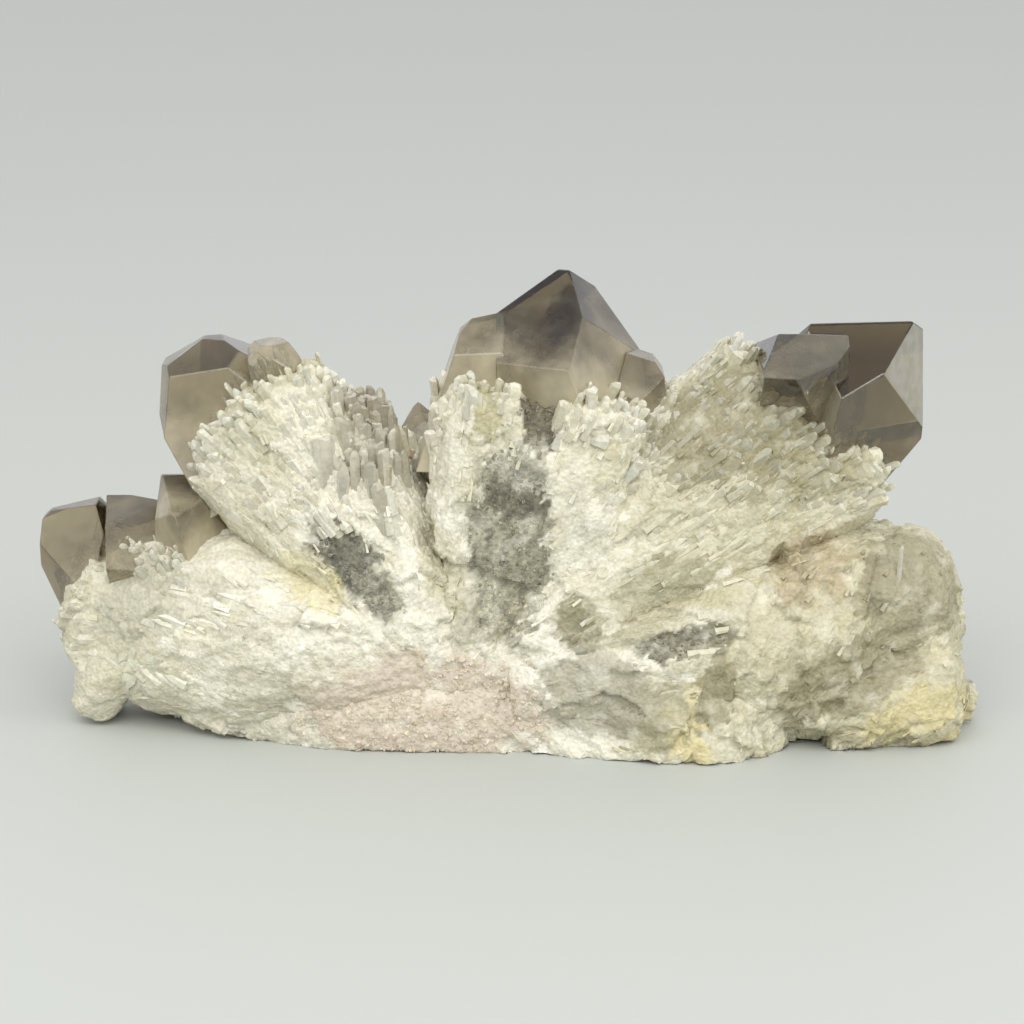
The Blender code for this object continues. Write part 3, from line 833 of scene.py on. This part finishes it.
# %% Faces of the large crystals: centre, then (heading, tilt, distance)
LARGE_CRYSTALS = {
    "centre_crystal": ((9, 0, 55), [
        (-114, 53, 15.5), (-17, 38, 12), (-31, 21, 11), (0, 90, 19.2), (150, 45, 14.8), (60, 60, 16.7),
        (30, 27, 12.5), (180, 0, 11.5), (0, 0, 12), (90, 0, 13), (120, 30, 15), (-55, -5, 17),
        (-115, -5, 16), (0, -90, 33)]),
    "centre_left_crystal": ((-4, -6, 56), [
        (180, 18, 7), (180, 46, 9.8), (0, 90, 12.4), (-100, 58, 9.2), (-95, 4, 6.5), (-25, 30, 7.8),
        (0, 5, 4.2), (90, 0, 8), (110, 50, 10), (0, -90, 12)]),
    "centre_right_crystal": ((20, -3, 50), [
        (0, 35, 8.2), (0, 3, 4.7), (-10, 75, 10.6), (-85, 50, 9), (-110, -4, 7), (-45, 2, 6),
        (180, 20, 5.5), (90, 0, 8), (60, 40, 10), (0, -90, 12)]),
    "right_crystal": ((55, 2, 54), [
        (-34, 5, 9.5), (-85, 54, 10.5), (-51, -14, 9), (0, -43, 14), (5, 0, 11.6), (0, 50, 14.9),
        (90, 0, 12), (96, 60, 9.2), (90, -55, 11), (180, 30, 12), (-155, 5, 9.5), (-90, -60, 14),
        (180, -20, 14)]),
    "right_front_crystal": ((47, -4, 58), [
        (-27, 1, 8), (-73, 66, 8), (-46, -27, 7), (0, 0, 6.3), (-90, 72, 8.2), (90, 70, 5.7),
        (90, 0, 7), (180, 40, 8.5), (-90, -50, 8), (180, 0, 8), (0, -70, 9)]),
    "left_crystal": ((-72.5, 3, 26), [
        (-119, 38, 3.5), (-144, -10, 4), (180, 2, 5.2), (180, 45, 7.4), (175, 78, 7.5), (0, 25, 7.4),
        (0, -5, 5.5), (180, -29, 5.6), (90, 0, 9), (110, 45, 9), (-60, -30, 9), (-35, 10, 8.2),
        (0, -60, 11)]),
    "left_middle_crystal": ((-60, 3, 27), [
        (-76, 59, 6.5), (-108, 73, 7), (-176, -5, 6), (90, 75, 9), (90, 10, 9), (180, 0, 8),
        (60, 55, 8), (0, 0, 8), (-90, -40, 10), (0, -90, 12)]),
    "left_near_crystal": ((-51, -4, 32), [
        (-86, 71, 8), (-41, -2, 4.5), (-140, -20, 6), (-158, 25, 8), (0, 30, 4.6), (0, 59, 6.8),
        (180, 5, 6.6), (100, 30, 8), (90, 80, 9.2), (180, -20, 6.3), (0, -40, 8), (90, -20, 9),
        (-100, -60, 12)]),
    "upper_left_crystal": ((-49, 5, 51), [
        (180, 2, 8.2), (-165, 8, 8.6), (-95, 12, 9.5), (180, 57, 9.9), (-110, 60, 10.2),
        (10, 62, 10.8), (180, -30, 7.6), (0, 90, 11.1), (90, 5, 9), (110, 50, 10), (0, 0, 11),
        (-60, 45, 12), (0, -60, 14)]),
    "point_crystal": ((-37.7, -3, 56.2), [
        (-100, 45, 7.2), (-40, 38, 5.6), (-160, 35, 6.6), (20, 35, 5.5), (80, 40, 7), (140, 40, 7),
        (-130, 0, 4.6), (-70, 0, 4.6), (-10, 0, 3.8), (180, -10, 3.6), (90, 0, 5), (0, -90, 14),
        (0, 90, 7)]),
}
# Six-sided crystals with a regular point, behind: (root, tip, radius, roll in degrees).
BACK_CRYSTALS = [
    ((-30, 12, 24), (-50, 26, 44), 6.5, 10),
    ((-40, 12, 12), (-66, 22, 22), 6.0, 25),
    ((-12, 12, 30), (-16, 20, 49), 4.5, 5),
    ((10, 12, 28), (20, 26, 55), 6.5, 40),
    ((30, 12, 18), (56, 26, 40), 7.0, 15),
    ((34, 14, 14), (64, 24, 24), 5.5, 50),
    ((2, 14, 20), (2, 30.5, 42), 5.5, 20),
]
SIDES = 6
POINT_ANGLE = math.radians(38.2)
EDGE_WEAR = 0.16


# Faces with frost, as (heading, tilt) and how much. A share above 0.4 turns the face silvery grey, which is a
# painted reflection, as on the two faces of the right crystal.
FROST_AND_REFLECTION_FACES = {
    "right_crystal": [((-34, 5), 0.6), ((-155, 5), 0.5)],
    "right_front_crystal": [((-27, 1), 0.15)],
    "centre_crystal": [((-31, 21), 0.15)],
}


# %% Cut crystals from blocks
def facing(heading, tilt):
    """The direction of a heading round the compass and a tilt above the horizon, in degrees."""
    heading, tilt = math.radians(heading), math.radians(tilt)
    return Vector((math.cos(tilt) * math.cos(heading), math.cos(tilt) * math.sin(heading), math.sin(tilt)))


def cut_face(builder, point, outward):
    """Slices off what lies beyond a plane and closes the cut with one flat face."""
    everything = builder.verts[:] + builder.edges[:] + builder.faces[:]
    cut = bmesh.ops.bisect_plane(builder, geom=everything, plane_co=point, plane_no=outward,
                                 clear_outer=True)
    edges = [item for item in cut["geom_cut"] if isinstance(item, bmesh.types.BMEdge)]
    if edges:
        bmesh.ops.contextual_create(builder, geom=edges)


def finish_crystal(name, builder):
    """Wears the edges a little, as on a real crystal, frosts the faces, paints a silvery reflection on a few, and
    makes the mesh.
    """
    bmesh.ops.recalc_face_normals(builder, faces=builder.faces)
    frost_and_reflection = builder.faces.layers.float.new("frost_and_reflection")
    for face in builder.faces:
        face[frost_and_reflection] = max(0.0, draw.normal(0.04, 0.09))
        # The listed faces get a set share. The strong shares are a painted silvery reflection, not frost.
        for outward, amount in FROST_AND_REFLECTION_FACES.get(name, ()):
            if face.normal.dot(facing(*outward)) > 0.995:
                face[frost_and_reflection] = amount
    bmesh.ops.bevel(builder, geom=builder.edges[:], offset=EDGE_WEAR, segments=1, affect="EDGES",
                    clamp_overlap=True)
    bmesh.ops.translate(builder, vec=CENTRING, verts=builder.verts)
    bmesh.ops.scale(builder, vec=(MM,) * 3, verts=builder.verts)
    mesh = bpy.data.meshes.new(name)
    builder.to_mesh(mesh)
    builder.free()
    return mesh


def faceted_crystal(name, centre, faces):
    centre = Vector(centre)
    builder = bmesh.new()
    bmesh.ops.create_cube(builder, size=120)
    bmesh.ops.translate(builder, vec=centre, verts=builder.verts)
    for heading, tilt, distance in faces:
        outward = facing(heading, tilt)
        cut_face(builder, centre + outward * distance, outward)
    return finish_crystal(name, builder)


def pointed_crystal(name, root, tip, radius, roll):
    """A six-sided prism from root to tip, its end cut to a point by six faces at quartz's own angle."""
    root, tip = Vector(root), Vector(tip)
    length = (tip - root).length
    builder = bmesh.new()
    bmesh.ops.create_cone(builder, cap_ends=True, segments=SIDES, radius1=radius * 0.9, radius2=radius,
                          depth=length)
    bmesh.ops.translate(builder, vec=(0, 0, length / 2), verts=builder.verts)
    for side in range(SIDES):
        turn = 2 * math.pi * (side + 0.5) / SIDES
        outward = Vector((math.cos(turn) * math.cos(POINT_ANGLE), math.sin(turn) * math.cos(POINT_ANGLE),
                          math.sin(POINT_ANGLE)))
        step_back = radius * (0.0 if side % 2 else 0.22)
        cut_face(builder, Vector((0, 0, length - radius * 0.1 - step_back * 0.5)), outward)
    aim = (tip - root).to_track_quat("Z", "Y").to_matrix().to_4x4()
    place = Matrix.Translation(root) @ aim @ Matrix.Rotation(math.radians(roll), 4, "Z")
    bmesh.ops.transform(builder, matrix=place, verts=builder.verts)
    return finish_crystal(name, builder)


large_meshes = {name: faceted_crystal(name, *rest) for name, rest in LARGE_CRYSTALS.items()}
large_meshes.update({f"back_crystal_{number}": pointed_crystal(f"back_crystal_{number}", *rest)
                     for number, rest in enumerate(BACK_CRYSTALS)})
print("large crystals:", len(large_meshes))

# %% [markdown]
# ## The finishes
# The sheath is white to olive quartz, full of tiny flaws, so it looks nearly opaque. It could be made with
# light that scatters inside, but that takes long to render. Here mottling, pale veins and a fine bump do
# it, and the small crystals are smoother than the mass, so that their faces shine.

# %% The finish of the rough mass and the small crystals
PER_MM = 1000


def sheath_finish(name, roughness, transmission, grain_bump, streaky):
    """Cream to olive quartz that reads its colour from the points."""
    finish = Finish(name, ior=1.544, transmission_weight=transmission)
    colour = finish.attribute("stone_colour", "Color")
    fine = finish.noise(1.6 * PER_MM, 2.0)
    cloud = finish.noise(0.25 * PER_MM, 3.0)
    mottled = finish.mix(fine.between(0.25, 0.75) * 0.5, colour, finish.mix(1.0, colour,
                         linear(208, 204, 184), "MULTIPLY"))
    veined = finish.mix(cloud.between(0.5, 0.75) * 0.35, mottled, linear(236, 233, 214))
    streaks = finish.node("ShaderNodeTexNoise", {}, {"Vector": finish.attribute("fibres", "Vector"),
                                                     "Scale": 1.3, "Detail": 3.0})
    cells = finish.node("ShaderNodeTexVoronoi", {}, {"Vector": finish.place(), "Scale": 1.5 * PER_MM})
    finish.set(finish.shader, {"Base Color": veined,
                               "Roughness": roughness + 0.15 * (cloud - 0.5),
                               "Normal": finish.bump(fine + streaky * (streaks + cells), 0.35, grain_bump * MM)})
    return finish.material


skin_finish = sheath_finish("broken_quartz", 0.5, 0.0, 0.5, 1)
flake_finish = sheath_finish("sheath_flakes", 0.4, 0.0, 0.12, 0)
glassy_finish = sheath_finish("sheath_crystals", 0.18, 0.2, 0.1, 0)
FINISHES = {"splinters": flake_finish, "half_grown": glassy_finish, "blade": flake_finish, "standing": glassy_finish,
            "window": glassy_finish, "matrix": flake_finish}
print("finishes for the small layers:", sorted(set(f.name for f in FINISHES.values())))

# %% [markdown]
# ## The finish of the large crystals
# Each one is clear above and cloudy towards its root, where it runs full of tiny cracks. The height at which the
# cloud begins differs, so each crystal gets a material of its own. Every face has a little frost, and a few faces
# have a painted silvery reflection. That share is stored on the face itself.

# %% Smoky stone: height where it is cloudy, height where it is clear, strength of the cloud, density
SMOKE_TINT = (0.57, 0.485, 0.29)
SMOKE = {
    "centre_crystal": (46, 71, 0.75, 155),
    "centre_left_crystal": (48, 74, 0.75, 90),
    "centre_right_crystal": (40, 66, 0.7, 170),
    "right_crystal": (34, 48, 0.4, 205),
    "right_front_crystal": (46, 64, 0.35, 290),
    "left_crystal": (12, 34, 0.28, 220),
    "left_middle_crystal": (18, 38, 0.4, 155),
    "left_near_crystal": (22, 46, 0.9, 90),
    "upper_left_crystal": (40, 60, 0.5, 115),
    "point_crystal": (44, 74, 0.75, 15),
}
BACK_SMOKE = (0, 60, 0.5, 120)


def smoky_finish(name, cloudy_height, clear_height, strength, density):
    """Clear stone that darkens with depth, with pale clouds near its root."""
    finish = Finish(name, base_color=linear(236, 228, 208), roughness=0.06, ior=1.544,
                    transmission_weight=1.0)
    steps = finish.noise(0.35 * PER_MM, 2.0)
    finish.set(finish.shader, {"Normal": finish.bump(steps, 0.25, 0.15 * MM)})
    cloudy = finish.tree.nodes.new("ShaderNodeBsdfPrincipled")
    height = finish.node("ShaderNodeSeparateXYZ", {}, {"Vector": finish.place()}, "Z") * PER_MM
    wisps = finish.noise(0.13 * PER_MM, 4.0)
    specks = finish.noise(0.5 * PER_MM, 2.0)
    # The share stored on each face is frost, and on a few faces it is a painted silvery reflection.
    frost_and_reflection = finish.attribute("frost_and_reflection", "Fac")
    cloud = (height + 26 * (wisps - 0.5)).between(clear_height, cloudy_height)
    share = (cloud * strength * (0.7 + 0.6 * specks) + frost_and_reflection).maths(
        "MINIMUM", cloud * strength * (0.7 + 0.6 * specks) + frost_and_reflection, 0.95)
    # Where the face share is strong, the cloud turns silvery grey. That grey is a painted reflection.
    tone = finish.mix(frost_and_reflection.between(0.4, 0.7), linear(200, 189, 160), linear(180, 181, 177))
    finish.set(cloudy, {"Base Color": finish.mix(specks.between(0.3, 0.7) * 0.5, tone, linear(160, 152, 124)),
                        "Roughness": 0.35, "IOR": 1.544})
    mixed = finish.tree.nodes.new("ShaderNodeMixShader")
    finish.set(mixed, {0: share})
    finish.tree.links.new(finish.shader.outputs[0], mixed.inputs[1])
    finish.tree.links.new(cloudy.outputs[0], mixed.inputs[2])
    finish.tree.links.new(mixed.outputs[0], finish.output.inputs["Surface"])
    absorb = finish.tree.nodes.new("ShaderNodeVolumeAbsorption")
    absorb.inputs["Color"].default_value = (*SMOKE_TINT, 1)
    absorb.inputs["Density"].default_value = density
    finish.tree.links.new(absorb.outputs[0], finish.output.inputs["Volume"])
    return finish.material


# %% Show every piece
for name, points in rough_skins.items():
    skin = make_mesh(name, points, [skins[name][1]], splintered_colour(points, 1.3, 4.5, 5), True,
                     fibre_place(points, 1, 4))
    add_piece(name, skin, skin_finish, "matrix" if "matrix" in name else "crystal_sheath")
for name, mesh in small_layers.items():
    finish = next(value for key, value in FINISHES.items() if key in name)
    add_piece(name, mesh, finish, "matrix" if "matrix" in name else "crystal_sheath")
for name, mesh in large_meshes.items():
    add_piece(name, mesh, smoky_finish(name + "_stone", *SMOKE.get(name, BACK_SMOKE)), "smoky_quartz")

# %% [markdown]
# ## Floor and light
# A plain pale floor under a wide soft light from above and in front, and a weaker one from the right.
# Hard light would throw black shadows between the small crystals, which the stone doesn't show.

# %% Floor and lights
floor_mesh = bpy.data.meshes.new("floor")
floor_mesh.from_pydata([(-4, -3, 0), (4, -3, 0), (4, 6, 0), (-4, 6, 0)], [], [(0, 1, 2, 3)])
floor = bpy.data.objects.new("floor", floor_mesh)
bpy.context.scene.collection.objects.link(floor)
floor_finish = Finish("pale_floor", roughness=0.55)
floor_finish.set(floor_finish.shader, {"Base Color": floor_finish.mix(
    floor_finish.noise(3.0), linear(184, 187, 181), linear(187, 190, 184))})
floor_mesh.materials.append(floor_finish.material)


def soft_light(name, place, target, size, watts):
    lamp = bpy.data.lights.new(name, "AREA")
    lamp.shape = "RECTANGLE"
    lamp.size, lamp.size_y = size
    lamp.energy = watts
    holder = bpy.data.objects.new(name, lamp)
    holder.location = place
    holder.rotation_euler = (Vector(target) - Vector(place)).to_track_quat("-Z", "Y").to_euler()
    bpy.context.scene.collection.objects.link(holder)


soft_light("overhead", (-0.1, -0.7, 0.75), (0, 0, 0), (1.1, 0.8), 7)
soft_light("side", (0.9, -0.5, 0.5), (0.03, 0, 0.04), (0.4, 0.5), 2.5)
world = bpy.data.worlds.new("room")
world.use_nodes = True
world.node_tree.nodes["Background"].inputs["Color"].default_value = (0.98, 0.985, 1.0, 1)
world.node_tree.nodes["Background"].inputs["Strength"].default_value = 0.93
bpy.context.scene.world = world
bpy.context.scene.view_settings.view_transform = "Standard"
